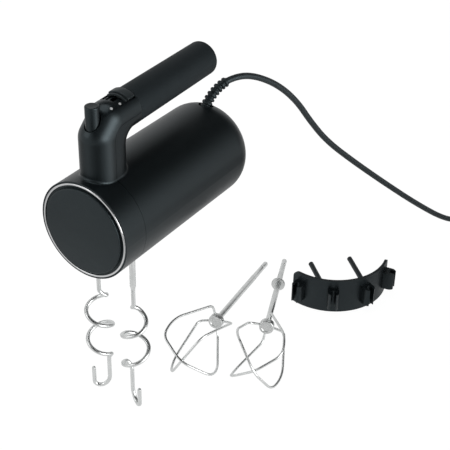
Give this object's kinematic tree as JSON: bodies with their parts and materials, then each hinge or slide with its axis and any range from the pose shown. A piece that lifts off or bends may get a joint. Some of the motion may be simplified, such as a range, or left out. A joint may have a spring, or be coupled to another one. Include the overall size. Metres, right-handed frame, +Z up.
{
  "type": "hand mixer",
  "caption": "Hand-held electric mixer with a motor barrel, top handle, spiral dough hooks, wire beaters, a curved tool holder and a mains lead; it spins its tools and ejects them.",
  "frame": {"origin": "middle of the grip, on its axis", "axes": "+Z up, -Y towards the round front face, +Y along the barrel to its rear, +X to the mixer's left-hand side seen from the front"},
  "size_m": [0.3144, 0.6048, 0.3332],
  "materials": {
    "shell_plastic": "satin black moulded shell",
    "disc_plastic": "fine-grained dark slate disc",
    "chrome": "polished trim ring",
    "soft_grip": "soft-touch grip",
    "control_plastic": "black control pieces",
    "mark_white": "printed speed marks",
    "inner_plastic": "inner mouldings",
    "gear_plastic": "natural nylon",
    "steel": "turned and laminated steel",
    "bright_steel": "polished wire and shafts",
    "copper_wire": "enamelled copper wire",
    "bronze": "sintered bearings and pins",
    "carbon": "carbon",
    "holder_plastic": "black storage holder",
    "cord_jacket": "flexible lead jacket"
  },
  "bodies": {
    "mixer": {"barrel_housing": "shell_plastic", "front_housing": "shell_plastic", "front_disc": "disc_plastic", "trim_ring": "chrome", "grip_sleeve": "soft_grip", "grip_core": "control_plastic", "control_bezel": "control_plastic", "slider_track": "control_plastic", "speed_switch": "control_plastic", "speed_marks": "mark_white", "eject_bracket": "inner_plastic", "eject_spring": "steel", "gear_case": "inner_plastic", "gear_case_cover": "inner_plastic", "gear_case_screws": "steel", "spindle_bush_left": "control_plastic", "spindle_bush_right": "control_plastic", "front_bearing": "bronze", "middle_bearing": "bronze", "rear_bearing": "bronze", "stator_core": "steel", "field_windings": "copper_wire", "motor_ring_front": "inner_plastic", "motor_ring_rear": "inner_plastic", "rear_bracket": "inner_plastic", "motor_bolts": "steel", "brush_holders": "bronze", "carbon_brushes": "carbon", "strain_relief": "cord_jacket", "internal_lead": "cord_jacket", "cord_clamp": "inner_plastic", "cord_free": "cord_jacket", "cord_coil": "cord_jacket", "cord_tie": "control_plastic", "plug_body": "cord_jacket", "plug_pins": "bronze"},
    "motor": {"armature_shaft": "steel", "armature_core": "steel", "armature_winding": "copper_wire", "commutator": "copper_wire", "cooling_fan": "inner_plastic"},
    "spindle_left_body": {"spindle_left": "steel", "drive_gear_left": "gear_plastic"},
    "spindle_right_body": {"spindle_right": "steel", "drive_gear_right": "gear_plastic"},
    "hook_left_body": {"dough_hook_left": "bright_steel"},
    "hook_right_body": {"dough_hook_right": "bright_steel"},
    "eject_body": {"eject_button": "control_plastic", "eject_rod": "inner_plastic", "eject_yoke": "inner_plastic"},
    "slider_body": {"speed_slider": "control_plastic"},
    "beater_left_body": {"beater_left_shaft": "bright_steel", "beater_left_hub": "steel", "beater_left_wires": "bright_steel"},
    "beater_right_body": {"beater_right_shaft": "bright_steel", "beater_right_hub": "steel", "beater_right_wires": "bright_steel", "beater_right_collar": "steel"},
    "holder_body": {"storage_holder": "holder_plastic"}
  },
  "joints": [
    {"name": "motor_spin", "type": "hinge", "parent": "mixer", "child": "motor", "pos_m": [0, -0.08038, -0.09288], "axis": [0, 1, 0], "continuous": true},
    {"name": "spindle_left_spin", "type": "hinge", "parent": "mixer", "child": "spindle_left_body", "pos_m": [-0.02, -0.08038, -0.09288], "axis": [0, 0, 1], "continuous": true},
    {"name": "spindle_right_spin", "type": "hinge", "parent": "mixer", "child": "spindle_right_body", "pos_m": [0.02, -0.08038, -0.09288], "axis": [0, 0, 1], "continuous": true},
    {"name": "eject_slide", "type": "slide", "parent": "mixer", "child": "eject_body", "axis": [0, 0, -1], "range_m": [0, 0.008], "stiffness_N_per_m": 500, "springref_m": -0.006, "deforming": ["eject_spring"]},
    {"name": "hook_left_slide", "type": "slide", "parent": "spindle_left_body", "child": "hook_left_body", "axis": [0, 0, -1], "range_m": [0, 0.008]},
    {"name": "hook_right_slide", "type": "slide", "parent": "spindle_right_body", "child": "hook_right_body", "axis": [0, 0, -1], "range_m": [0, 0.008]},
    {"name": "speed_slide", "type": "slide", "parent": "mixer", "child": "slider_body", "axis": [0, -0.9997, -0.0227], "range_m": [0, 0.0093]},
    {"name": "beater_left_lift", "type": "slide", "parent": "mixer", "child": "beater_left_body", "axis": [0, 0, 1], "range_m": [0, 0.08]},
    {"name": "beater_right_lift", "type": "slide", "parent": "mixer", "child": "beater_right_body", "axis": [0, 0, 1], "range_m": [0, 0.08]},
    {"name": "holder_lift", "type": "slide", "parent": "mixer", "child": "holder_body", "axis": [0, 0, 1], "range_m": [0, 0.08]}
  ],
  "couplings": [
    {"joint": "spindle_left_spin", "follows": "motor_spin", "ratio": 0.041667},
    {"joint": "spindle_right_spin", "follows": "motor_spin", "ratio": -0.041667},
    {"joint": "hook_left_slide", "follows": "eject_slide", "ratio": 1},
    {"joint": "hook_right_slide", "follows": "eject_slide", "ratio": 1}
  ]
}
